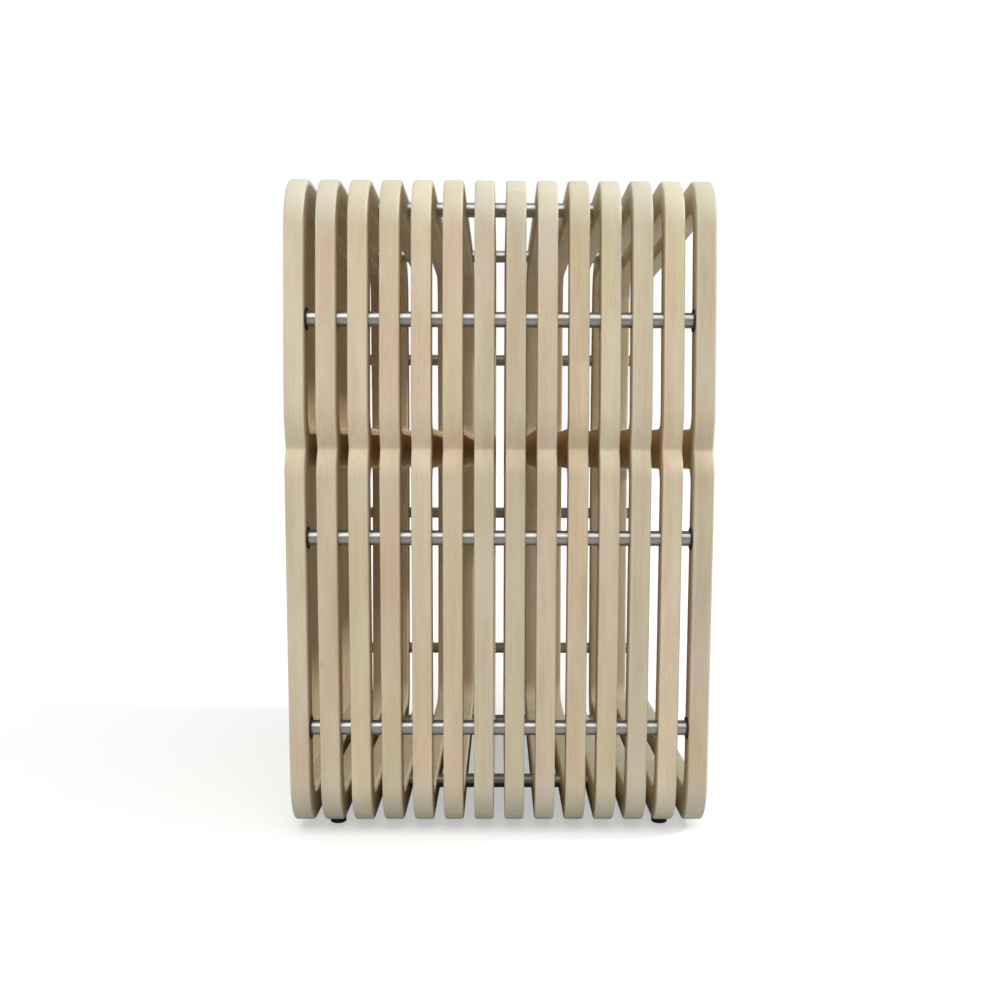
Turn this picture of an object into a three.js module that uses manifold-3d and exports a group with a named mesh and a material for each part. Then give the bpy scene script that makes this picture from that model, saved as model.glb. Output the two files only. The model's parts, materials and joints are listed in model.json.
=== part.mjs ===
// A free-standing wine rack: fourteen flat wooden ribs strung on ten stainless steel rods.
// Each rib is one closed frame with a shorter bay over a taller one, split by a middle bar.
// A thin panel closes the left end, so bottles are put in from the right and lie across the ribs.
// Millimetres, +Z up, front to -Y.
import * as THREE from "three";
import { mergeVertices } from "three/addons/utils/BufferGeometryUtils.js";
import Module from "manifold-3d";

// Ribs
const ribCount = 14;
const ribThickness = 20;
const ribPitch = 31.5;
const rackDepth = 570;
const ribTop = 675.5;
const ribBottom = 8;
const lobeBow = 15;
const lobeBowPower = 1.5;
const topCornerRadius = 57;
const bottomCornerRadius = 50;
const cornerSteps = 5;

// Members of a rib, measured in its own plane
const postWidth = 30;
const topChordWidth = 33;
const bottomChordWidth = 36;
const barTop = 422.5;
const barBottom = 381;
const bayCornerRadius = 23;
const barCornerRadius = 15;
const bayCornerSteps = 3;
const waistHeight = 400.5;
const waistDepth = 10;
const waistReachUp = 42;
const waistReachDown = 27;
const waistStations = [1, 0.7, 0.4, 0.15];

// Rods
const rodDiameter = 15.4;
const rodSides = 10;
const postRodInset = 15.5;
const postRodHeights = { upper: 530, middle: 311, lower: 114 };
const chordRodInset = 130;
const chordRodHeights = { top: 659, bottom: 29.5 };
const blindBoreDepth = 12;

// The panel let into the outer face of the left end rib
const panelThickness = 4;
const panelLap = 5;
const panelCornerRadius = 18;
const panelScrewPlaces = [-180, -60, 60, 180];
const panelScrew = { headDiameter: 6.6, headHeight: 1.9, diameter: 3.2, length: 14 };

// Fasteners and feet
const washerDiameter = 23;
const washerThickness = 1.5;
const rodScrew = { headDiameter: 12, headHeight: 3.3, diameter: 6, length: 40 };
const screwTipRoom = 3;
const footDiameter = 17;
const footRounding = 2;
const footSides = 12;
const footInset = 72;
const footedRibs = { left: 2, right: 13 };
const pegDiameter = 6;
const pegLength = 12;
const fitGap = 0.3;
const cutRoom = 1;

// Places worked out from the dimensions above
const frontFace = -rackDepth / 2;
const ribX = (number) => (number - (ribCount + 1) / 2) * ribPitch;
const endInnerFaceX = ribX(ribCount) - ribThickness / 2;
const endOuterFaceX = ribX(ribCount) + ribThickness / 2;
const washerX = endInnerFaceX - fitGap - washerThickness / 2;
const screwClearance = rodScrew.diameter / 2 + fitGap;
const ends = { left: -1, right: 1 };

const wasm = await Module();
wasm.setup();

const finish = (color, roughness, metalness) => new THREE.MeshStandardMaterial({ color, roughness, metalness });
const paleWood = finish(0xcdbd9e, 0.7, 0);
const stainlessSteel = finish(0xc4c6c8, 0.25, 1);
const blackRubber = finish(0x16140f, 0.8, 0);

// A closed geometry as a solid that can be cut.
function solidOf(geometry) {
  const bare = geometry.clone().deleteAttribute("normal").deleteAttribute("uv");
  const merged = mergeVertices(bare, 1e-4);
  const vertProperties = merged.attributes.position.array;
  const triVerts = new Uint32Array(merged.index.array);
  return new wasm.Manifold(new wasm.Mesh({ numProp: 3, vertProperties, triVerts }));
}

function geometryOf(solid) {
  const { vertProperties, triVerts } = solid.getMesh();
  const geometry = new THREE.BufferGeometry();
  geometry.setAttribute("position", new THREE.BufferAttribute(vertProperties, 3));
  return geometry.setIndex(new THREE.BufferAttribute(triVerts, 1));
}

const pointsOf = (pairs) => pairs.map(([radius, height]) => new THREE.Vector2(radius, height));

// A turned piece whose axis runs along X. The profile's heights count towards +X.
const turnedAlongX = (pairs, sides) => new THREE.LatheGeometry(pointsOf(pairs), sides).rotateZ(-Math.PI / 2);

// A turned piece whose axis stands upright.
const turnedUpright = (pairs, sides) => new THREE.LatheGeometry(pointsOf(pairs), sides).rotateX(Math.PI / 2);

// Points along part of a circle, from one angle to another, in degrees.
function arc(centreY, centreZ, radius, from, to, steps) {
  return Array.from({ length: steps + 1 }, (_, i) => {
    const angle = THREE.MathUtils.degToRad(from + ((to - from) * i) / steps);
    return new THREE.Vector2(centreY + radius * Math.cos(angle), centreZ + radius * Math.sin(angle));
  });
}

// A flat shape raised to a thickness. The shape's axes become Y and Z, and it rises towards +X.
function raised(shape, thickness) {
  const body = new THREE.ExtrudeGeometry(shape, { depth: thickness, bevelEnabled: false });
  return body.rotateX(Math.PI / 2).rotateZ(Math.PI / 2);
}

// How far a lobe's front edge bows back from the waist towards the top or the bottom.
function bowSetback(height) {
  const lobeEnd = height >= waistHeight ? ribTop : ribBottom;
  const along = (height - waistHeight) / (lobeEnd - waistHeight);
  return lobeBow * along ** lobeBowPower;
}

// How far the front edge stands behind the foremost plane, with the crease at the waist.
function frontSetback(height) {
  const waistReach = height >= waistHeight ? waistReachUp : waistReachDown;
  const nearness = Math.max(0, 1 - Math.abs(height - waistHeight) / waistReach);
  return bowSetback(height) + waistDepth * nearness ** 2;
}

const frontEdge = (height) => new THREE.Vector2(frontFace + frontSetback(height), height);

// The back half of an outline mirrors the front half. It runs up the back and down the front.
const closedOutline = (front) => [...front.map((p) => new THREE.Vector2(-p.x, p.y)), ...front.toReversed()];

// Heights that divide the bowed part of a lobe's edge evenly.
const bowHeights = (low, high) => [0.25, 0.5, 0.75].map((share) => low + (high - low) * share);

// The front half of a rib's outer outline, from the bottom up.
function ribFront() {
  const lowZ = ribBottom + bottomCornerRadius;
  const highZ = ribTop - topCornerRadius;
  const lowY = frontEdge(lowZ).x + bottomCornerRadius;
  const highY = frontEdge(highZ).x + topCornerRadius;
  const below = waistStations.map((place) => frontEdge(waistHeight - place * waistReachDown));
  const above = waistStations.map((place) => frontEdge(waistHeight + place * waistReachUp)).reverse();
  return [
    ...arc(lowY, lowZ, bottomCornerRadius, 270, 180, cornerSteps),
    ...bowHeights(lowZ, waistHeight - waistReachDown).map(frontEdge),
    ...below,
    frontEdge(waistHeight),
    ...above,
    ...bowHeights(waistHeight + waistReachUp, highZ).map(frontEdge),
    ...arc(highY, highZ, topCornerRadius, 180, 90, cornerSteps),
  ];
}

// The front half of a bay's outline, from the bottom up: a post between two rounded corners.
function bayFront(low, high, lowRadius, highRadius) {
  const lowY = frontEdge(low + lowRadius).x + postWidth + lowRadius;
  const highY = frontEdge(high - highRadius).x + postWidth + highRadius;
  return [
    ...arc(lowY, low + lowRadius, lowRadius, 270, 180, bayCornerSteps),
    ...arc(highY, high - highRadius, highRadius, 180, 90, bayCornerSteps),
  ];
}

// A rib before drilling, centred on X = 0 and standing in the Y-Z plane.
function ribBlank() {
  const shape = new THREE.Shape(closedOutline(ribFront()));
  const lowerBay = bayFront(ribBottom + bottomChordWidth, barBottom, bayCornerRadius, barCornerRadius);
  const upperBay = bayFront(barTop, ribTop - topChordWidth, barCornerRadius, bayCornerRadius);
  shape.holes = [lowerBay, upperBay].map((front) => new THREE.Path(closedOutline(front)));
  return raised(shape, ribThickness).translate(-ribThickness / 2, 0, 0);
}

// Every rod, with the place of its axis in the Y-Z plane.
// The post rods are screwed to the end ribs, and the chord rods sit in blind bores there.
const rods = [];
for (const [side, direction] of Object.entries({ front: 1, back: -1 })) {
  for (const [level, height] of Object.entries(postRodHeights)) {
    const y = direction * (frontEdge(height).x + postRodInset);
    rods.push({ name: `${side}_${level}`, y, z: height, isScrewed: true });
  }
  for (const [level, height] of Object.entries(chordRodHeights)) {
    const y = direction * (frontFace + chordRodInset);
    rods.push({ name: `${level}_${side}`, y, z: height, isScrewed: false });
  }
}

// The tool that bores a middle rib for a rod to pass through.
function rodBore() {
  const radius = rodDiameter / 2 + fitGap;
  const reach = ribThickness / 2 + cutRoom;
  return turnedAlongX([[0, -reach], [radius, -reach], [radius, reach], [0, reach]], rodSides);
}

// The tool that bores the inner face of the right end rib for a rod's end.
function blindBore() {
  const radius = rodDiameter / 2 + fitGap;
  const low = -ribThickness / 2 - cutRoom;
  const high = -ribThickness / 2 + blindBoreDepth + fitGap;
  return turnedAlongX([[0, low], [radius, low], [radius, high], [0, high]], rodSides);
}

// The tool that bores and countersinks for a screw. Its head's face is at X = 0 and the shank runs
// towards -X as far as the reach.
function screwBore(screw, reach) {
  const shankRadius = screw.diameter / 2 + fitGap;
  const headRadius = screw.headDiameter / 2 + fitGap;
  return turnedAlongX([
    [0, -reach],
    [shankRadius, -reach],
    [shankRadius, -screw.headHeight - fitGap],
    [headRadius, -fitGap],
    [headRadius, cutRoom],
    [0, cutRoom],
  ], rodSides);
}

// The tool that bores the underside of a rib for a foot's peg.
function pegBore() {
  const radius = pegDiameter / 2 + fitGap;
  const low = ribBottom - cutRoom;
  const high = ribBottom + pegLength + fitGap;
  return turnedUpright([[0, low], [radius, low], [radius, high], [0, high]], rodSides);
}

const footPlaces = [];
for (const [side, direction] of Object.entries({ front: 1, back: -1 })) {
  for (const [end, number] of Object.entries(footedRibs)) {
    footPlaces.push({ name: `${side}_${end}`, number, y: direction * (frontFace + footInset) });
  }
}

// The tool that bores the right end rib for a rod: through for its screw, or blind for its end.
function endBore(isScrewed) {
  if (!isScrewed) return blindBore();
  return screwBore(rodScrew, ribThickness + cutRoom).translate(ribThickness / 2, 0, 0);
}

// A flat plate with rounded corners in the Y-Z plane, that covers both bays and laps their edges.
// The growth widens it all round, and it reaches from X = 0 towards +X by the thickness.
function bayPlate(thickness, growth) {
  const lap = panelLap + growth;
  const radius = panelCornerRadius + growth;
  const low = ribBottom + bottomChordWidth - lap + radius;
  const high = ribTop - topChordWidth + lap - radius;
  const edgeY = (height) => frontFace + bowSetback(height) + postWidth - lap;
  const upright = [...bowHeights(low, waistHeight), waistHeight, ...bowHeights(waistHeight, high)];
  const front = [
    ...arc(edgeY(low) + radius, low, radius, 270, 180, bayCornerSteps),
    ...upright.map((height) => new THREE.Vector2(edgeY(height), height)),
    ...arc(edgeY(high) + radius, high, radius, 180, 90, bayCornerSteps),
  ];
  return raised(new THREE.Shape(closedOutline(front)), thickness);
}

// The tools that seat the panel in the left end rib: the recess and the bores for its screws.
function panelTools() {
  const outerFace = -ribThickness / 2;
  const seat = bayPlate(panelThickness + fitGap + cutRoom, fitGap).translate(outerFace - cutRoom, 0, 0);
  const bores = panelScrewPlaces.map((y) => {
    const bore = screwBore(panelScrew, panelScrew.length + fitGap).rotateZ(Math.PI);
    return bore.translate(outerFace, y, (barTop + barBottom) / 2);
  });
  return [seat, ...bores];
}

// The tools that a rib is drilled with, each in its place.
function ribTools(number) {
  const isLeftEnd = number === 1;
  const isRightEnd = number === ribCount;
  const tools = rods.map(({ y, z, isScrewed }) => {
    const tool = isLeftEnd || isRightEnd ? endBore(isScrewed) : rodBore();
    if (isLeftEnd) tool.rotateZ(Math.PI);
    return tool.translate(0, y, z);
  });
  const feet = footPlaces.filter((foot) => foot.number === number);
  const pegTools = feet.map((foot) => pegBore().translate(0, foot.y, 0));
  return isLeftEnd ? [...tools, ...pegTools, ...panelTools()] : [...tools, ...pegTools];
}

const wineRack = new THREE.Group();
wineRack.name = "wine_rack";

// Each piece carries a material of its own, so a finish can be changed piece by piece.
function addPiece(name, geometry, material, x, y, z) {
  const piece = new THREE.Mesh(geometry, material.clone());
  piece.name = name;
  piece.position.set(x, y, z);
  wineRack.add(piece);
  return piece;
}

function addRibs() {
  const blank = solidOf(ribBlank());
  for (let number = 1; number <= ribCount; number++) {
    const tools = ribTools(number).map(solidOf);
    const rib = tools.reduce((solid, tool) => solid.subtract(tool), blank);
    addPiece(`rib_${String(number).padStart(2, "0")}`, geometryOf(rib), paleWood, ribX(number), 0, 0);
  }
}

// The panel lies against its seat, and its screws are countersunk into its outer face.
function addPanel() {
  const bores = panelScrewPlaces.map((y) => {
    const bore = screwBore(panelScrew, panelThickness + cutRoom).rotateZ(Math.PI);
    return solidOf(bore.translate(0, y, (barTop + barBottom) / 2));
  });
  const panel = bores.reduce((solid, bore) => solid.subtract(bore), solidOf(bayPlate(panelThickness, 0)));
  addPiece("end_panel", geometryOf(panel), paleWood, -endOuterFaceX, 0, 0);
  panelScrewPlaces.forEach((y, i) => {
    const screw = screwGeometry(panelScrew).rotateZ(Math.PI);
    addPiece(`panel_screw_${i + 1}`, screw, stainlessSteel, -endOuterFaceX, y, (barTop + barBottom) / 2);
  });
}

// A chord rod is a plain bar that reaches into the end ribs' blind bores.
function plainRodGeometry() {
  const radius = rodDiameter / 2;
  const half = endInnerFaceX + blindBoreDepth;
  return turnedAlongX([[0, -half], [radius, -half], [radius, half], [0, half]], rodSides);
}

// A post rod ends against the end ribs and is tapped at both ends, with room past the screw's tip.
function tappedRodGeometry() {
  const radius = rodDiameter / 2;
  const halfLength = endInnerFaceX - fitGap;
  const boreEnd = endOuterFaceX - rodScrew.length - screwTipRoom;
  return turnedAlongX([
    [0, -boreEnd],
    [screwClearance, -boreEnd],
    [screwClearance, -halfLength],
    [radius, -halfLength],
    [radius, halfLength],
    [screwClearance, halfLength],
    [screwClearance, boreEnd],
    [0, boreEnd],
  ], rodSides);
}

// A washer is a flat ring round the rod's end, against the end rib.
function washerGeometry() {
  const inner = rodDiameter / 2 + fitGap;
  const outer = washerDiameter / 2;
  const half = washerThickness / 2;
  const ring = [[inner, -half], [outer, -half], [outer, half], [inner, half]];
  return turnedAlongX([...ring, ring[0]], rodSides);
}

// A countersunk screw, with its head's face at X = 0 and its shank towards -X.
function screwGeometry(screw) {
  const shank = screw.diameter / 2;
  return turnedAlongX([
    [0, -screw.length],
    [shank, -screw.length],
    [shank, -screw.headHeight],
    [screw.headDiameter / 2, 0],
    [0, 0],
  ], rodSides);
}

function addRodsAndFasteners() {
  for (const { name, y, z, isScrewed } of rods) {
    addPiece(`rod_${name}`, isScrewed ? tappedRodGeometry() : plainRodGeometry(), stainlessSteel, 0, y, z);
    if (!isScrewed) continue;
    for (const [end, direction] of Object.entries(ends)) {
      const screw = screwGeometry(rodScrew).rotateZ(direction > 0 ? 0 : Math.PI);
      addPiece(`screw_${name}_${end}`, screw, stainlessSteel, direction * endOuterFaceX, y, z);
      addPiece(`washer_${name}_${end}`, washerGeometry(), blackRubber, direction * washerX, y, z);
    }
  }
}

// A foot is a round pad with its lower edge eased and a peg pressed up into the rib.
function footGeometry() {
  const radius = footDiameter / 2;
  const padTop = ribBottom - fitGap;
  return turnedUpright([
    [0, 0],
    [radius - footRounding, 0],
    [radius, footRounding],
    [radius, padTop],
    [pegDiameter / 2, padTop],
    [pegDiameter / 2, ribBottom + pegLength],
    [0, ribBottom + pegLength],
  ], footSides);
}

function addFeet() {
  for (const { name, number, y } of footPlaces) {
    addPiece(`foot_${name}`, footGeometry(), blackRubber, ribX(number), y, 0);
  }
}

addRibs();
addPanel();
addRodsAndFasteners();
addFeet();

export default wineRack;
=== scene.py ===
import json
import math
import random

import bmesh
import bpy
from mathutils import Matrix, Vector

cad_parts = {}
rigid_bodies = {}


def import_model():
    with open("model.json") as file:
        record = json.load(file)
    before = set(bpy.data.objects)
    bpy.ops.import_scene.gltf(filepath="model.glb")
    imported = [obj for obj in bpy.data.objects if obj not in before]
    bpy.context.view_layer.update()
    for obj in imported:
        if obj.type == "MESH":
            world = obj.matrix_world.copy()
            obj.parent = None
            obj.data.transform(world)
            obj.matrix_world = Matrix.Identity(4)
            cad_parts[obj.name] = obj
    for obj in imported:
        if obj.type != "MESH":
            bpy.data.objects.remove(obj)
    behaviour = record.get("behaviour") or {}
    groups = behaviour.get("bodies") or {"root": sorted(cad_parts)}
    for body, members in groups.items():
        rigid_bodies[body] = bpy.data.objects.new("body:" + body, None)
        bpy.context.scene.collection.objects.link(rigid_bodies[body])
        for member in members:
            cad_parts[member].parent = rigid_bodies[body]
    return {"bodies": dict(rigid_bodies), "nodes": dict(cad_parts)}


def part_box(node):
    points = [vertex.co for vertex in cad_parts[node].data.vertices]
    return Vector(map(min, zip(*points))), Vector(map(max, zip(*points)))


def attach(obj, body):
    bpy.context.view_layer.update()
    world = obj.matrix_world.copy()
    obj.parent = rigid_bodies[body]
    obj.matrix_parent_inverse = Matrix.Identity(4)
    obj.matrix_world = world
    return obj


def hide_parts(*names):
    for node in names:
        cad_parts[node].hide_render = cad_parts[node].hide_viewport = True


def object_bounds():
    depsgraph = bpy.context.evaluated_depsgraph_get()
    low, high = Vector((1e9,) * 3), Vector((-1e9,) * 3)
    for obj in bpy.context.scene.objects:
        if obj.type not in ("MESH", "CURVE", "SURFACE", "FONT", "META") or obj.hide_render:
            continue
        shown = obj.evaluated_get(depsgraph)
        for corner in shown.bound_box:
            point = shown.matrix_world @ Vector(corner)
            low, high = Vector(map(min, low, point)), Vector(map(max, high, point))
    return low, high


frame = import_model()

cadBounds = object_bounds()
rackBody = next(iter(frame["bodies"]))
ribNames = sorted(name for name in frame["nodes"] if name.startswith("rib_"))
rodNames = sorted(name for name in frame["nodes"] if name.startswith("rod_"))
chordRods = [name for name in rodNames if name.startswith(("rod_top", "rod_bottom"))]
panelScrews = sorted(name for name in frame["nodes"] if name.startswith("panel_screw_"))
print("frame loaded:", len(ribNames), "ribs and", len(rodNames), "rods")


# camera

cameraLook = {
    "distance": 1.2119,          # from the front of the ribs
    "eyeHeight": 0.3956,
    "pitchDown": 4.893,          # degrees
    "roll": 0.20,
    "yawRight": 0.60,
    "lens": 43.68,
    "sensor": 36.0,
    "shiftAcross": -0.0127,
    "shiftUp": 0.0583,
}


def makeCamera():
    look = cameraLook
    data = bpy.data.cameras.new("rackCamera")
    data.lens = look["lens"]
    data.sensor_width = look["sensor"]
    data.shift_x = look["shiftAcross"]
    data.shift_y = look["shiftUp"]
    camera = bpy.data.objects.new("rackCamera", data)
    camera.location = (0, cadBounds[0].y - look["distance"], look["eyeHeight"])
    turns = (90 - look["pitchDown"], -look["roll"], -look["yawRight"])
    camera.rotation_euler = [math.radians(turn) for turn in turns]
    bpy.context.scene.collection.objects.link(camera)
    bpy.context.scene.camera = camera


makeCamera()
bpy.context.scene.view_settings.view_transform = "Standard"


# node helpers: addNode makes a node, and its inputs are numbers or other nodes' sockets

def addNode(tree, kind, inputs=None, **settings):
    node = tree.nodes.new(kind)
    for name, value in settings.items():
        setattr(node, name, value)
    for name, value in (inputs or {}).items():
        if isinstance(value, bpy.types.NodeSocket):
            tree.links.new(value, node.inputs[name])
        else:
            node.inputs[name].default_value = value
    return node


def calc(tree, operation, first, second=0.0):
    return addNode(tree, "ShaderNodeMath", {0: first, 1: second}, operation=operation).outputs[0]


def ramp(tree, value, stops):
    node = addNode(tree, "ShaderNodeValToRGB", {"Fac": value})
    elements = node.color_ramp.elements
    while len(elements) < len(stops):
        elements.new(0.5)
    for element, (place, colour) in zip(elements, stops):
        element.position = place
        element.color = colour if len(colour) == 4 else (*colour, 1)
    return node.outputs["Color"]


def grey(level):
    return (level, level, level)


def blendColours(tree, factor, first, second, blendType="MIX"):
    inputs = {"Factor": factor, 6: first, 7: second}
    node = addNode(tree, "ShaderNodeMix", inputs, data_type="RGBA", blend_type=blendType)
    return node.outputs[2]


def noiseNode(tree, coords, scale, offset=(0, 0, 0), **inputs):
    placed = addNode(tree, "ShaderNodeMapping", {"Vector": coords, "Location": offset, "Scale": scale})
    return addNode(tree, "ShaderNodeTexNoise", {"Vector": placed.outputs[0], "Scale": 1.0, **inputs})


def stretchedNoise(tree, coords, scale, offset=(0, 0, 0), **inputs):
    return noiseNode(tree, coords, scale, offset, **inputs).outputs["Fac"]


def newMaterial(name):
    material = bpy.data.materials.new(name)
    material.use_nodes = True
    tree = material.node_tree
    return material, tree, tree.nodes["Principled BSDF"]


# bleached wood, a solid texture whose grain runs upright through the whole rib

ribLow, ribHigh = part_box(ribNames[0])

ribWood = {
    "sapwood": (0.640, 0.530, 0.365),
    "heartwood": (0.575, 0.460, 0.300),
    "latewood": (0.46, 0.345, 0.21),
    "limed": (0.70, 0.635, 0.505),
    "speck": (0.24, 0.16, 0.10),
    "betweenShade": (0.98, 0.85, 0.67),    # painted shade, multiplied into the faces between the ribs
    "topBottomTone": (0.575, 0.56, 0.445),
    "tint": 0.15,
    "staveWidth": 0.068,         # staves glued side by side make the board a rib is cut from
    "staveTones": (0.93, 1.05),
    "ringScale": 92,
    "ringSlant": (28, 50),       # degrees
    "ringSway": (0.035, 0.035, 0.0),
    "knotShare": 0.14,           # how many of the cells hold a speck
    "roughness": 0.62,
    "grainDepth": 0.0004,
    "tones": [(1.00, 0.985, 0.96), (0.97, 0.985, 0.98), (1.0, 0.97, 0.93), (0.98, 0.98, 0.99)],
    "levels": (0.95, 1.03),
}


def yearRings(tree, grainPlace, rng):
    # slightly wandering sheets, cut at a slant
    wander = noiseNode(tree, grainPlace, (9, 9, 1.1), Detail=2.0).outputs["Color"]
    sway = addNode(tree, "ShaderNodeVectorMath", {0: wander, 1: ribWood["ringSway"]}, operation="MULTIPLY")
    swayed = addNode(tree, "ShaderNodeVectorMath", {0: grainPlace, 1: sway.outputs[0]})
    slant = math.radians(rng.uniform(*ribWood["ringSlant"]))
    turned = addNode(tree, "ShaderNodeMapping", {"Vector": swayed.outputs[0], "Rotation": (0, 0, slant)})
    scale = ribWood["ringScale"] * rng.uniform(0.85, 1.15)
    inputs = {"Vector": turned.outputs[0], "Scale": scale, "Distortion": 1.2, "Detail": 2.0,
              "Detail Scale": 0.6}
    rings = addNode(tree, "ShaderNodeTexWave", inputs,
                    wave_type="BANDS", bands_direction="X", wave_profile="SAW")
    return rings.outputs["Fac"]


def pinKnots(tree, grainPlace, number):
    # a few small brown specks and pin knots
    placed = addNode(tree, "ShaderNodeMapping",
                     {"Vector": grainPlace, "Scale": (26, 26, 11), "Location": (number * 3.7, 1.3, 0)})
    knots = addNode(tree, "ShaderNodeTexVoronoi", {"Vector": placed.outputs[0], "Scale": 1.0})
    chance = addNode(tree, "ShaderNodeSeparateColor", {0: knots.outputs["Color"]}).outputs[0]
    spot = ramp(tree, knots.outputs["Distance"], [(0.03, grey(0.42)), (0.075, grey(0))])
    return calc(tree, "MULTIPLY", spot, calc(tree, "GREATER_THAN", chance, 1 - ribWood["knotShare"]))


def bleachedWood(number):
    look = ribWood
    rng = random.Random(400 + number)
    material, tree, shader = newMaterial(f"bleachedWood_{number:02d}")
    place = addNode(tree, "ShaderNodeTexCoord").outputs["Object"]
    axes = addNode(tree, "ShaderNodeSeparateXYZ", {0: place})

    # each stave shifts the grain and the tone a little
    across = calc(tree, "DIVIDE", axes.outputs["Y"], look["staveWidth"])
    stave = calc(tree, "FLOOR", calc(tree, "ADD", across, rng.uniform(0, 1)))
    shiftKey = calc(tree, "ADD", stave, number * 17.0)
    staveRandom = addNode(tree, "ShaderNodeTexWhiteNoise", {"W": shiftKey}, noise_dimensions="1D")
    shift = addNode(tree, "ShaderNodeVectorMath", {0: staveRandom.outputs["Color"], 1: (3.1, 2.3, 1.7)},
                    operation="MULTIPLY")
    grainPlace = addNode(tree, "ShaderNodeVectorMath", {0: place, 1: shift.outputs[0]}).outputs[0]

    # rings, then fibres and pores, long up and down
    rings = yearRings(tree, grainPlace, rng)
    fibres = stretchedNoise(tree, grainPlace, (1100, 1100, 22), Detail=3.0, Roughness=0.65)
    broadFibres = stretchedNoise(tree, grainPlace, (330, 330, 7), Detail=2.0)
    pores = stretchedNoise(tree, grainPlace, (1500, 1500, 75), (4, 9, 2), Detail=1.0)
    poreMask = ramp(tree, pores, [(0.60, grey(0)), (0.72, grey(1))])
    cloud = stretchedNoise(tree, grainPlace, (14, 14, 3.2), (1, 5, 3), Detail=3.0)
    liming = stretchedNoise(tree, place, (42, 42, 9), (number, 2, 7), Detail=4.0, Roughness=0.6)

    # the colours, laid one over another
    latewood = (*look["latewood"], 1)
    limed = (*look["limed"], 1)
    cloudMask = ramp(tree, cloud, [(0.35, grey(0)), (0.68, grey(1))])
    wood = blendColours(tree, cloudMask, (*look["sapwood"], 1), (*look["heartwood"], 1))
    ringMask = ramp(tree, rings, [(0.30, grey(0)), (0.92, grey(0.13)), (1.0, grey(0))])
    wood = blendColours(tree, ringMask, wood, latewood)
    fibreMask = ramp(tree, broadFibres, [(0.42, grey(0)), (0.75, grey(0.28))])
    wood = blendColours(tree, fibreMask, wood, latewood)
    wood = blendColours(tree, calc(tree, "MULTIPLY", poreMask, 0.35), wood, latewood)
    limeMask = calc(tree, "MULTIPLY", ramp(tree, liming, [(0.38, grey(0)), (0.75, grey(1))]), 0.55)
    wood = blendColours(tree, limeMask, wood, limed)

    # faint pink, straw and green streaks up the grain
    streaks = noiseNode(tree, grainPlace, (95, 95, 1.6), Detail=2.0).outputs["Color"]
    wood = blendColours(tree, look["tint"], wood, streaks, "OVERLAY")
    wood = blendColours(tree, pinKnots(tree, grainPlace, number), wood, (*look["speck"], 1))

    # painted highlight: the eased edges are paler, where they catch the light
    edge = addNode(tree, "ShaderNodeAttribute", attribute_name="easedEdge").outputs["Fac"]
    edgeHighlight = calc(tree, "MULTIPLY", edge, ramp(tree, liming, [(0.30, grey(0.25)), (0.60, grey(0.8))]))
    wood = blendColours(tree, calc(tree, "MULTIPLY", edgeHighlight, 0.55), wood, limed)

    # the top and bottom of each rib are coloured greyer and a little greener
    halfHeight = (ribHigh.z - ribLow.z) / 2
    fromMiddle = calc(tree, "SUBTRACT", axes.outputs["Z"], ribLow.z + halfHeight)
    upright = calc(tree, "DIVIDE", calc(tree, "ABSOLUTE", fromMiddle), halfHeight)
    endMask = ramp(tree, upright, [(0.80, grey(0)), (0.99, grey(0.85))])
    wood = blendColours(tree, endMask, wood, (*look["topBottomTone"], 1))

    # painted shade: the faces between the ribs are darkened, most of all deep inside, less towards the top,
    # bottom, front and back
    sideways = calc(tree, "DIVIDE", calc(tree, "ABSOLUTE", axes.outputs["Y"]), ribHigh.y)
    outward = calc(tree, "MAXIMUM", upright, sideways)
    deepShadeMask = ramp(tree, outward, [(0.86, grey(1)), (0.99, grey(0.1))])
    between = addNode(tree, "ShaderNodeAttribute", attribute_name="shadeBetweenRibs").outputs["Fac"]
    between = calc(tree, "MULTIPLY", between, deepShadeMask)
    wood = blendColours(tree, between, wood, (*look["betweenShade"], 1), "MULTIPLY")

    # each rib and each stave has a tone of its own
    tone = look["tones"][rng.randrange(len(look["tones"]))]
    level = rng.uniform(*look["levels"])
    wood = blendColours(tree, 1.0, wood, (*[level * part for part in tone], 1), "MULTIPLY")
    low, high = look["staveTones"]
    staveTone = addNode(tree, "ShaderNodeMapRange",
                        {"Value": staveRandom.outputs["Value"], "To Min": low, "To Max": high})
    toned = addNode(tree, "ShaderNodeVectorMath", {0: wood, "Scale": staveTone.outputs[0]}, operation="SCALE")
    tree.links.new(toned.outputs[0], shader.inputs["Base Color"])

    roughness = addNode(tree, "ShaderNodeMapRange", {"Value": fibres, "To Min": look["roughness"] - 0.10,
                                                     "To Max": look["roughness"] + 0.14})
    tree.links.new(roughness.outputs[0], shader.inputs["Roughness"])
    shader.inputs["Specular IOR Level"].default_value = 0.35

    relief = calc(tree, "SUBTRACT", fibres, calc(tree, "MULTIPLY", poreMask, 0.6))
    relief = calc(tree, "ADD", relief, calc(tree, "MULTIPLY", broadFibres, 0.8))
    bump = addNode(tree, "ShaderNodeBump",
                   {"Height": relief, "Strength": 0.30, "Distance": look["grainDepth"]})
    tree.links.new(bump.outputs[0], shader.inputs["Normal"])
    return material


# drawn stainless bar

rodSteel = {"colour": (0.37, 0.355, 0.335), "roughness": 0.29, "lines": (45, 2600, 2600)}


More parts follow.
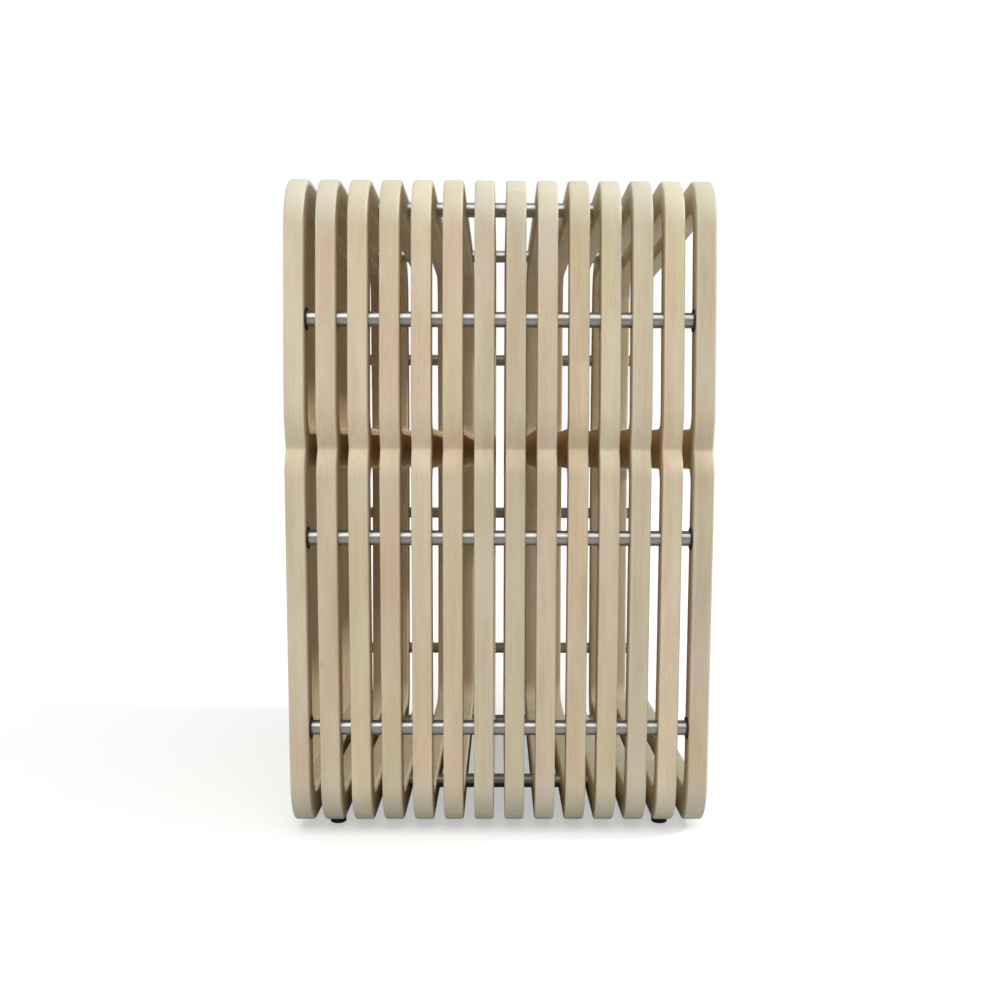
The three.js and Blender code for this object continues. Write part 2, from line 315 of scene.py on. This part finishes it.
def drawnSteel(name, look):
    material, tree, shader = newMaterial(name)
    place = addNode(tree, "ShaderNodeTexCoord").outputs["Object"]
    lines = stretchedNoise(tree, place, look["lines"], Detail=2.0, Roughness=0.6)
    smudge = stretchedNoise(tree, place, (28, 60, 60), (3, 1, 8), Detail=3.0)
    colour = blendColours(tree, ramp(tree, smudge, [(0.35, grey(0)), (0.70, grey(1))]),
                          (*look["colour"], 1), (*[0.90 * part for part in look["colour"]], 1))
    tree.links.new(colour, shader.inputs["Base Color"])
    shader.inputs["Metallic"].default_value = 1.0
    roughness = calc(tree, "ADD", calc(tree, "MULTIPLY", smudge, 0.10), look["roughness"] - 0.04)
    roughness = calc(tree, "ADD", roughness, calc(tree, "MULTIPLY", lines, 0.06))
    tree.links.new(roughness, shader.inputs["Roughness"])
    bump = addNode(tree, "ShaderNodeBump", {"Height": lines, "Strength": 0.10, "Distance": 0.00006})
    tree.links.new(bump.outputs[0], shader.inputs["Normal"])
    return material


screwSteel = {"colour": (0.60, 0.605, 0.61), "roughness": 0.26, "lines": (700, 700, 700)}

# moulded black rubber, for the washers and the feet

padRubber = {"colour": (0.018, 0.018, 0.019), "dust": (0.060, 0.056, 0.050), "roughness": 0.58}


def blackRubber():
    look = padRubber
    material, tree, shader = newMaterial("blackRubber")
    place = addNode(tree, "ShaderNodeTexCoord").outputs["Object"]
    mottle = stretchedNoise(tree, place, (260, 260, 260), Detail=4.0, Roughness=0.6)
    pits = stretchedNoise(tree, place, (2400, 2400, 2400), (2, 6, 1), Detail=2.0)
    colour = blendColours(tree, ramp(tree, mottle, [(0.50, grey(0)), (0.80, grey(0.5))]),
                          (*look["colour"], 1), (*look["dust"], 1))
    tree.links.new(colour, shader.inputs["Base Color"])
    roughness = calc(tree, "ADD", calc(tree, "MULTIPLY", mottle, 0.22), look["roughness"] - 0.08)
    tree.links.new(roughness, shader.inputs["Roughness"])
    shader.inputs["Specular IOR Level"].default_value = 0.4
    bump = addNode(tree, "ShaderNodeBump", {"Height": pits, "Strength": 0.25, "Distance": 0.0001})
    tree.links.new(bump.outputs[0], shader.inputs["Normal"])
    return material


# ribs

ribShape = {
    "lobeBow": 0.015,
    "lobeBowPower": 1.5,
    "topCorner": 0.057,
    "bottomCorner": 0.050,
    "postWidth": 0.030,
    "topChord": 0.033,
    "bottomChord": 0.036,
    "barTop": 0.4225,
    "barBottom": 0.381,
    "bayCorner": 0.023,
    "barCorner": 0.015,
    "waistHeight": 0.4005,
    "waistDepth": 0.011,
    "waistReachUp": 0.042,
    "waistReachDown": 0.027,
    "waistRounding": 0.05,
    "easing": 0.0024,            # radius of the sanded edges
    "easingSpread": 0.0006,      # how much hand sanding varies it
    "easingSteps": 4,
    "seatEasing": 0.2,           # the edges under the panel are hardly eased
    "boreEasing": 0.0005,
    "boreSides": 32,
    "blindDepth": 0.0123,        # the chord rods' ends sit in blind bores in the end ribs
    "rodFit": 0.00015,
    "headFit": 0.0002,
}

ribThickness = ribHigh.x - ribLow.x
rodLow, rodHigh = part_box("rod_front_upper")
rodRadius = (rodHigh.z - rodLow.z) / 2
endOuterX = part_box(ribNames[-1])[1].x


def boxCentre(node):
    low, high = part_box(node)
    return (low + high) / 2


def arcPoints(centreY, centreZ, radius, start, end, steps):
    angles = [math.radians(start + (end - start) * i / steps) for i in range(steps + 1)]
    return [(centreY + radius * math.cos(a), centreZ + radius * math.sin(a)) for a in angles]


def bowSetback(height):
    shape = ribShape
    lobeEnd = ribHigh.z if height >= shape["waistHeight"] else ribLow.z
    along = (height - shape["waistHeight"]) / (lobeEnd - shape["waistHeight"])
    return shape["lobeBow"] * along ** shape["lobeBowPower"]


def frontSetback(height):
    shape = ribShape
    reach = shape["waistReachUp"] if height >= shape["waistHeight"] else shape["waistReachDown"]
    away = abs(height - shape["waistHeight"]) / reach
    nearness = max(0, 1 - math.hypot(away, shape["waistRounding"]))
    return bowSetback(height) + shape["waistDepth"] * nearness ** 2


def frontEdge(height):
    return (ribLow.y + frontSetback(height), height)


def straightHeights(low, high, spacing=0.03):
    count = max(1, round((high - low) / spacing))
    return [low + (high - low) * i / count for i in range(1, count)]


def closedLoop(front):
    # up the back and down the front
    return [(-y, z) for y, z in front] + front[::-1]


def outerLoop():
    shape = ribShape
    lowZ = ribLow.z + shape["bottomCorner"]
    highZ = ribHigh.z - shape["topCorner"]
    waistLow = shape["waistHeight"] - shape["waistReachDown"]
    waistHigh = shape["waistHeight"] + shape["waistReachUp"]
    waist = [waistLow + 0.001 * i for i in range(1 + round((waistHigh - waistLow) / 0.001))]
    lowY = frontEdge(lowZ)[0] + shape["bottomCorner"]
    highY = frontEdge(highZ)[0] + shape["topCorner"]
    lowArc = arcPoints(lowY, lowZ, shape["bottomCorner"], 270, 180, 16)
    highArc = arcPoints(highY, highZ, shape["topCorner"], 180, 90, 16)
    upright = [*straightHeights(lowZ, waistLow), *waist, *straightHeights(waistHigh, highZ)]
    return closedLoop([*lowArc, *map(frontEdge, upright), *highArc])


def bayLoop(low, high, lowRadius, highRadius):
    lowY = frontEdge(low + lowRadius)[0] + ribShape["postWidth"]
    highY = frontEdge(high - highRadius)[0] + ribShape["postWidth"]
    lowArc = arcPoints(lowY + lowRadius, low + lowRadius, lowRadius, 270, 180, 10)
    highArc = arcPoints(highY + highRadius, high - highRadius, highRadius, 180, 90, 10)
    rise = high - highRadius - low - lowRadius
    posts = [(lowY + (highY - lowY) * (z - low - lowRadius) / rise, z)
             for z in straightHeights(low + lowRadius, high - highRadius)]
    return closedLoop([*lowArc, *posts, *highArc])


def towardsWood(loop, woodOnLeft):
    normals = []
    for i, point in enumerate(loop):
        before, after = loop[i - 1], loop[(i + 1) % len(loop)]
        along = Vector((after[0] - before[0], after[1] - before[1])).normalized()
        left = Vector((-along.y, along.x))
        normals.append(left if woodOnLeft else -left)
    return normals


def sandedRadii(loop, rng):
    # the easing swells and thins slowly along the edge
    waves = []
    for wave in range(4):
        waves.append((rng.choice((2, 3, 5, 8)), rng.uniform(0, math.tau), rng.uniform(0.2, 0.5)))
    radii = []
    for i in range(len(loop)):
        turn = math.tau * i / len(loop)
        swell = sum(size * math.sin(count * turn + start) for count, start, size in waves)
        radii.append(ribShape["easing"] + ribShape["easingSpread"] * swell)
    return radii


def plateLoop(lap, radius):
    # the outline of the panel that closes the left end: it follows the posts' bow
    shape = ribShape
    low = ribLow.z + shape["bottomChord"] - lap + radius
    high = ribHigh.z - shape["topChord"] + lap - radius

    def edge(height):
        return ribLow.y + bowSetback(height) + shape["postWidth"] - lap

    lowArc = arcPoints(edge(low) + radius, low, radius, 270, 180, 10)
    highArc = arcPoints(edge(high) + radius, high, radius, 180, 90, 10)
    return closedLoop([*lowArc, *[(edge(z), z) for z in straightHeights(low, high)], *highArc])


def ringStrip(bm, rings):
    for first, second in zip(rings, rings[1:]):
        for i in range(len(first)):
            j = (i + 1) % len(first)
            bm.faces.new((first[i], first[j], second[j], second[i]))


def easedWall(bm, layer, loop, woodOnLeft, lowX, highX, rng, lowScale=1.0):
    # one side wall of a board, with a rounded edge at each face; returns its two border rings
    normals = towardsWood(loop, woodOnLeft)
    lowRadii = [radius * lowScale for radius in sandedRadii(loop, rng)]
    highRadii = sandedRadii(loop, rng)
    steps = ribShape["easingSteps"]
    rings = []
    for side, faceX, radii in ((-1, lowX, lowRadii), (1, highX, highRadii)):
        turns = [math.pi / 2 * k / steps for k in range(steps + 1)]
        for turn in (reversed(turns) if side < 0 else turns):
            ring = []
            for (y, z), normal, radius in zip(loop, normals, radii):
                inset = radius * (1 - math.cos(turn))
                x = faceX + side * radius * (math.sin(turn) - 1)
                vert = bm.verts.new((x, y + normal.x * inset, z + normal.y * inset))
                # how far round the eased edge a point lies, used for the painted highlight on the edges
                vert[layer] = math.sin(2 * turn) ** 0.5 if 0 < turn < math.pi / 2 else 0.0
                ring.append(vert)
            rings.append(ring)
    ringStrip(bm, rings)
    return rings[0], rings[-1]


def turnedRing(bm, centre, x, radius, sides):
    ring = []
    for k in range(sides):
        turn = math.tau * k / sides
        y = centre.y + radius * math.cos(turn)
        z = centre.z + radius * math.sin(turn)
        ring.append(bm.verts.new((x, y, z)))
    return ring


def boreWall(bm, centre, profile):
    # a turned hole from the left face to the right; a hole that stops short has a floor and one border
    sides = ribShape["boreSides"]
    rings = [turnedRing(bm, centre, x, radius, sides) for x, radius in profile if radius > 0]
    ringStrip(bm, rings)
    if profile[0][1] == 0:
        bm.faces.new(rings[0])
        return None, rings[-1]
    if profile[-1][1] == 0:
        bm.faces.new(rings[-1])
        return rings[0], None
    return rings[0], rings[-1]


def ringEdges(bm, ring):
    return [bm.edges.get((ring[i], ring[(i + 1) % len(ring)])) for i in range(len(ring))]


def mirrored(profile):
    return [(-x, radius) for x, radius in reversed(profile)]


def countersink(shape, faceX, startX):
    # a screw's bore, from startX up to the outer face at faceX
    ease = ribShape["boreEasing"]
    shank = shape["shankRadius"] + ribShape["rodFit"]
    head = shape["headRadius"] + ribShape["headFit"]
    coneX = faceX - shape["headHeight"] - ease
    return [(startX, shank), (coneX, shank), (faceX - ease, head), (faceX, head + ease / 2)]


def boreProfile(node, rod, half):
    # a rod runs through the middle ribs; the end ribs are bored for its screw, or blind for its end
    ease = ribShape["boreEasing"]
    radius = rodRadius + ribShape["rodFit"]
    if node not in (ribNames[0], ribNames[-1]):
        rightHalf = [(half - ease, radius), (half, radius + ease)]
        return [*mirrored(rightHalf), *rightHalf]
    if rod in chordRods:
        floorX = -half + ribShape["blindDepth"]
        profile = [(-half, radius + ease), (-half + ease, radius), (floorX, radius), (floorX, 0)]
    else:
        profile = countersink(rodScrewShape, half, -half)
    return profile if node == ribNames[-1] else mirrored(profile)


def finishMesh(bm, name, smoothAngle=40):
    bmesh.ops.recalc_face_normals(bm, faces=bm.faces)
    mesh = bpy.data.meshes.new(name)
    bm.to_mesh(mesh)
    bm.free()
    mesh.shade_smooth()
    mesh.set_sharp_from_angle(angle=math.radians(smoothAngle))
    piece = bpy.data.objects.new(name, mesh)
    bpy.context.scene.collection.objects.link(piece)
    return piece


def standFor(piece, node, material):
    piece.data.materials.append(material)
    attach(piece, rackBody)
    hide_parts(node)


def capFace(bm, borders, direction, between=0.0):
    edges = [edge for border in borders if border for edge in ringEdges(bm, border)]
    made = bmesh.ops.triangle_fill(bm, use_beauty=True, use_dissolve=False, edges=edges,
                                   normal=(direction, 0, 0))
    # between: how much of the painted shade between the ribs the new faces get
    layer = bm.faces.layers.float["shadeBetweenRibs"]
    for part in made["geom"]:
        if isinstance(part, bmesh.types.BMFace):
            part[layer] = between


def makeRib(node):
    shape = ribShape
    rng = random.Random(node)
    half = ribThickness / 2
    isLeftEnd = node == ribNames[0]
    bm = bmesh.new()
    # a face layer that holds the painted shade between the ribs
    bm.faces.layers.float.new("shadeBetweenRibs")
    layer = bm.verts.layers.float.new("easedEdge")
    bayLow = ribLow.z + shape["bottomChord"]
    bayHigh = ribHigh.z - shape["topChord"]
    bays = [
        bayLoop(bayLow, shape["barBottom"], shape["bayCorner"], shape["barCorner"]),
        bayLoop(shape["barTop"], bayHigh, shape["barCorner"], shape["bayCorner"]),
    ]
    # the left end rib is recessed for the panel, so its bays start at the recess's floor
    seatX = -half + panelShape["recess"] if isLeftEnd else -half
    edgeScale = shape["seatEasing"] if isLeftEnd else 1.0
    outer = easedWall(bm, layer, outerLoop(), True, -half, half, rng)
    bayBorders = [easedWall(bm, layer, loop, False, seatX, half, rng, edgeScale) for loop in bays]
    bores = [boreWall(bm, boxCentre(rod), boreProfile(node, rod, half)) for rod in rodNames]
    leftFace = [outer[0], *[bore[0] for bore in bores]]
    rightFace = [outer[1], *[border[1] for border in bayBorders], *[bore[1] for bore in bores]]
    if isLeftEnd:
        fit = panelShape["fit"]
        seat = plateLoop(panelShape["lap"] + fit, panelShape["corner"] + fit)
        rings = [[bm.verts.new((x, y, z)) for y, z in seat] for x in (-half, seatX)]
        ringStrip(bm, rings)
        leftFace.append(rings[0])
        screwBores = []
        for screw in panelScrews:
            shank = panelScrewShape["shankRadius"] + shape["rodFit"]
            tipX = -half + panelScrewShape["length"] + panelScrewShape["tipRoom"]
            profile = [(seatX, shank), (tipX, shank), (tipX, 0)]
            screwBores.append(boreWall(bm, boxCentre(screw), profile)[0])
        capFace(bm, [rings[1], *[border[0] for border in bayBorders], *screwBores], -1)
    else:
        leftFace += [border[0] for border in bayBorders]
    # the faces that meet the next rib get all of the painted shade between the ribs
    capFace(bm, leftFace, -1, 0.0 if isLeftEnd else 1.0)
    capFace(bm, rightFace, 1, 0.0 if node == ribNames[-1] else 1.0)
    piece = finishMesh(bm, f"{node}_board")
    piece.location.x = boxCentre(node).x
    standFor(piece, node, bleachedWood(int(node[-2:])))


# the panel let into the left end rib's outer face

panelShape = {
    "lap": 0.005,
    "corner": 0.018,
    "fit": 0.0002,
    "recess": 0.0042,
    "easing": 0.0004,
    "innerShade": 0.35,           # how much painted shade the inner face gets, facing into the rack
    "woodNumber": 20,
}


def makePanel(node):
    shape = panelShape
    low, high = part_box(node)
    half = (high.x - low.x) / 2
    ease = shape["easing"]
    bm = bmesh.new()
    bm.verts.layers.float.new("easedEdge")
    # a face layer that holds the painted shade on the inner face
    bm.faces.layers.float.new("shadeBetweenRibs")
    rings = []
    for x, inset in ((-half, ease), (-half + ease, 0), (half - ease, 0), (half, ease)):
        loop = plateLoop(shape["lap"] - inset, shape["corner"] - inset)
        rings.append([bm.verts.new((x, y, z)) for y, z in loop])
    ringStrip(bm, rings)
    profile = mirrored(countersink(panelScrewShape, half, -half))
    bores = [boreWall(bm, boxCentre(screw), profile) for screw in panelScrews]
    capFace(bm, [rings[0], *[bore[0] for bore in bores]], -1)
    # the inner face, facing into the rack, gets part of the painted shade
    capFace(bm, [rings[-1], *[bore[1] for bore in bores]], 1, shape["innerShade"])
    piece = finishMesh(bm, f"{node}_sheet")
    piece.location.x = (low.x + high.x) / 2
    standFor(piece, node, bleachedWood(shape["woodNumber"]))


# turned pieces: a profile of (place along the axis, radius) spun about X

def turnedPiece(name, profile, sides, centre, upright=False):
    bm = bmesh.new()
    rings = []
    for along, radius in profile:
        if radius == 0:
            rings.append([bm.verts.new((along, 0, 0))])
            continue
        turns = [math.tau * k / sides for k in range(sides)]
        rings.append([bm.verts.new((along, radius * math.cos(t), radius * math.sin(t))) for t in turns])
    closed = profile[0] == profile[-1]
    if closed:
        rings[-1] = rings[0]
    for first, second in zip(rings, rings[1:]):
        for k in range(sides):
            j = (k + 1) % sides
            corners = [first[k % len(first)], first[j % len(first)]]
            corners += [second[j % len(second)], second[k % len(second)]]
            bm.faces.new(list(dict.fromkeys(corners)))
    loose = [vert for vert in bm.verts if not vert.link_faces]
    bmesh.ops.delete(bm, geom=loose, context="VERTS")
    if upright:
        for vert in bm.verts:
            vert.co = (vert.co.y, vert.co.z, vert.co.x)
    piece = finishMesh(bm, name)
    piece.location = centre
    return piece


def roundedCorner(along, radius, size, fromTurn, toTurn, steps=3):
    # points of a small quarter round whose centre is at (along, radius)
    turns = [math.radians(fromTurn + (toTurn - fromTurn) * k / steps) for k in range(steps + 1)]
    return [(along + size * math.cos(t), radius + size * math.sin(t)) for t in turns]


rodShape = {"sides": 56, "chamfer": 0.0006, "boreRadius": 0.0033, "boreDepth": 0.022}


def makeRod(node):
    low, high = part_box(node)
    half = (high.x - low.x) / 2
    chamfer = rodShape["chamfer"]
    bore = rodShape["boreRadius"]
    rightHalf = [(half - chamfer, rodRadius), (half, rodRadius - chamfer)]
    if node in chordRods:
        rightHalf.append((half, 0))
    else:
        depth = rodShape["boreDepth"]
        rightHalf += [(half, bore + chamfer), (half - chamfer, bore)]
        rightHalf += [(half - depth, bore), (half - depth - bore / 2, 0)]
    profile = [*mirrored(rightHalf), *rightHalf]
    piece = turnedPiece(f"{node}_bar", profile, rodShape["sides"], boxCentre(node))
    standFor(piece, node, barSteel)


washerShape = {"sides": 48, "fit": 0.00015, "edge": 0.0004}


def makeWasher(node):
    low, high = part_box(node)
    half = (high.x - low.x) / 2
    outer = (high.z - low.z) / 2
    edge = washerShape["edge"]
    bore = rodRadius + washerShape["fit"]
    rim = roundedCorner(-half + edge, outer - edge, edge, 180, 90)
    rim += roundedCorner(half - edge, outer - edge, edge, 90, 0)
    profile = [(-half, bore), *rim, (half, bore), (-half, bore)]
    piece = turnedPiece(f"{node}_ring", profile, washerShape["sides"], boxCentre(node))
    standFor(piece, node, rubber)


rodScrewShape = {
    "sides": 48,
    "shankRadius": 0.003,
    "headRadius": 0.006,
    "headHeight": 0.0033,
    "headRim": 0.0003,
    "dish": 0.0005,              # how far the face falls towards the socket
    "socketRadius": 0.0023,      # to the corners of the hexagon
    "socketDepth": 0.0022,
    "socketPoint": 0.0006,       # the drill's point below the hexagon
    "tipChamfer": 0.0008,
}

panelScrewShape = {
    "sides": 36,
    "length": 0.014,
    "tipRoom": 0.0003,
    "shankRadius": 0.0016,
    "headRadius": 0.0033,
    "headHeight": 0.0019,
    "headRim": 0.0002,
    "dish": 0.0002,
    "socketRadius": 0.0012,
    "socketDepth": 0.0012,
    "socketPoint": 0.0006,
    "tipChamfer": 0.0008,
}


def makeScrew(node):
    shape = panelScrewShape if node in panelScrews else rodScrewShape
    low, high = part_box(node)
    isRight = boxCentre(node).x > 0
    length = high.x - low.x
    sides = shape["sides"]
    tip = shape["tipChamfer"]
    bm = bmesh.new()
    # rings from the tip to the rim of the head, with the face at X = 0
    profile = [
        (-length, shape["shankRadius"] - tip),
        (-length + tip, shape["shankRadius"]),
        (-shape["headHeight"], shape["shankRadius"]),
        (-shape["headRim"], shape["headRadius"]),
        (0, shape["headRadius"] - shape["headRim"] / 2),
    ]
    rings = []
    for along, radius in profile:
        turns = [math.tau * k / sides for k in range(sides)]
        rings.append([bm.verts.new((along, radius * math.cos(t), radius * math.sin(t))) for t in turns])
    # the socket is a hexagon, with as many points as the rings have so that the strips join up
    perSide = sides // 6
    turns = [math.tau * k / 6 for k in range(6)]
    corners = [Vector((math.cos(t), math.sin(t))) * shape["socketRadius"] for t in turns]
    hexagon = []
    for k in range(sides):
        side = k // perSide
        hexagon.append(corners[side].lerp(corners[(side + 1) % 6], (k % perSide) / perSide))
    for depth, size in ((shape["dish"] * 0.6, 1.15), (shape["dish"], 1.0), (shape["socketDepth"], 1.0)):
        rings.append([bm.verts.new((-depth, point.x * size, point.y * size)) for point in hexagon])
    ringStrip(bm, rings)
    bm.faces.new(rings[0])
    floorPoint = bm.verts.new((-shape["socketDepth"] - shape["socketPoint"], 0, 0))
    for k in range(sides):
        bm.faces.new((rings[-1][k], rings[-1][(k + 1) % sides], floorPoint))
    if not isRight:
        for vert in bm.verts:
            vert.co.x = -vert.co.x
    piece = finishMesh(bm, f"{node}_steel", 30)
    centre = boxCentre(node)
    piece.location = (endOuterX if isRight else -endOuterX, centre.y, centre.z)
    standFor(piece, node, headSteel)


footShape = {
    "sides": 56,
    "pegRadius": 0.003,
    "rounding": 0.0022,
    "topRounding": 0.0005,
    "pegChamfer": 0.0006,
    "ribGap": 0.0003,
}


def makeFoot(node):
    low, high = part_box(node)
    outer = (high.x - low.x) / 2
    rounding = footShape["rounding"]
    topRounding = footShape["topRounding"]
    peg = footShape["pegRadius"]
    chamfer = footShape["pegChamfer"]
    padTop = ribLow.z - footShape["ribGap"]
    profile = [
        (low.z, 0),
        *roundedCorner(low.z + rounding, outer - rounding, rounding, 180, 90, 6),
        *roundedCorner(padTop - topRounding, outer - topRounding, topRounding, 90, 0),
        (padTop, peg),
        (high.z - chamfer, peg),
        (high.z, peg - chamfer),
        (high.z, 0),
    ]
    centre = boxCentre(node)
    place = (centre.x, centre.y, 0)
    piece = turnedPiece(f"{node}_pad", profile, footShape["sides"], place, upright=True)
    standFor(piece, node, rubber)


for ribName in ribNames:
    makeRib(ribName)
print("ribs made:", len(ribNames))

barSteel = drawnSteel("barSteel", rodSteel)
headSteel = drawnSteel("screwHeadSteel", screwSteel)
rubber = blackRubber()
makers = {
    "end_panel": makePanel,
    "panel_screw_": makeScrew,
    "rod_": makeRod,
    "washer_": makeWasher,
    "screw_": makeScrew,
    "foot_": makeFoot,
}
for nodeName in sorted(frame["nodes"]):
    for prefix, maker in makers.items():
        if nodeName.startswith(prefix):
            maker(nodeName)
print("panel, rods, washers, screws and feet made")


# stage: a plain pale floor and soft studio light

studio = {
    "floorSize": 40,
    "floorColour": (0.56, 0.56, 0.555),
    "floorGlow": [(0.5, 0.46), (3.5, 0.72)],       # by distance; it whitens the floor for the camera only
    "glowReach": 10.0,
    "backdrop": 1.0,
    "strength": 1.0,
    "heights": [(0.0, 0.20), (0.48, 0.32), (0.62, 0.50), (0.9, 1.08)],
    "depths": [(0.0, 1.0), (0.45, 0.85), (0.9, 0.40)],      # dimmer behind the rack
}

# the key light is in front and above, and the smaller side light shines in at the open end
keyLight = {"power": 42, "size": 2.4, "place": (-0.5, -1.8, 2.4)}
sideLight = {"power": 52, "size": 0.30, "place": (2.6, -0.15, 1.72)}


def makeFloor():
    bm = bmesh.new()
    bmesh.ops.create_grid(bm, x_segments=2, y_segments=2, size=studio["floorSize"] / 2)
    floor = finishMesh(bm, "studioFloor")
    material, tree, shader = newMaterial("paleFloor")
    place = addNode(tree, "ShaderNodeTexCoord").outputs["Object"]
    cloud = stretchedNoise(tree, place, (3, 3, 3), Detail=2.0)
    worn = [0.985 * part for part in studio["floorColour"]]
    colour = ramp(tree, cloud, [(0.3, studio["floorColour"]), (0.7, worn)])
    tree.links.new(colour, shader.inputs["Base Color"])
    shader.inputs["Roughness"].default_value = 0.9
    away = addNode(tree, "ShaderNodeVectorMath", {0: place}, operation="LENGTH").outputs["Value"]
    reach = studio["glowReach"]
    stops = [(distance / reach, grey(level)) for distance, level in studio["floorGlow"]]
    glow = ramp(tree, calc(tree, "DIVIDE", away, reach), stops)
    tree.links.new(glow, shader.inputs["Emission Color"])
    seen = addNode(tree, "ShaderNodeLightPath").outputs["Is Camera Ray"]
    tree.links.new(seen, shader.inputs["Emission Strength"])
    floor.data.materials.append(material)


def makeWorld():
    world = bpy.data.worlds.new("studioWorld")
    bpy.context.scene.world = world
    world.use_nodes = True
    tree = world.node_tree
    tree.nodes.clear()
    direction = addNode(tree, "ShaderNodeTexCoord").outputs["Generated"]
    axes = addNode(tree, "ShaderNodeSeparateXYZ", {0: direction})
    lifted = calc(tree, "ADD", calc(tree, "MULTIPLY", axes.outputs["Z"], 0.5), 0.5)
    away = calc(tree, "ADD", calc(tree, "MULTIPLY", axes.outputs["Y"], 0.5), 0.5)
    byHeight = ramp(tree, lifted, [(place, grey(level)) for place, level in studio["heights"]])
    byDepth = ramp(tree, away, [(place, grey(level)) for place, level in studio["depths"]])
    shade = blendColours(tree, 1.0, byHeight, byDepth, "MULTIPLY")
    lighting = addNode(tree, "ShaderNodeBackground", {"Color": shade, "Strength": studio["strength"]})
    backdrop = (*grey(studio["backdrop"]), 1)
    plain = addNode(tree, "ShaderNodeBackground", {"Color": backdrop, "Strength": 1.0})
    seen = addNode(tree, "ShaderNodeLightPath").outputs["Is Camera Ray"]
    mixed = addNode(tree, "ShaderNodeMixShader", {0: seen, 1: lighting.outputs[0], 2: plain.outputs[0]})
    addNode(tree, "ShaderNodeOutputWorld", {"Surface": mixed.outputs[0]})


def makeLight(name, look):
    # a square soft light, aimed at the middle of the rack
    data = bpy.data.lights.new(name, "AREA")
    data.energy = look["power"]
    data.size = look["size"]
    light = bpy.data.objects.new(name, data)
    light.location = look["place"]
    aim = Vector((0, 0, ribHigh.z / 2)) - light.location
    light.rotation_euler = aim.to_track_quat("-Z", "Y").to_euler()
    bpy.context.scene.collection.objects.link(light)


makeFloor()
makeWorld()
makeLight("keyLight", keyLight)
makeLight("sideLight", sideLight)
print("stage set")
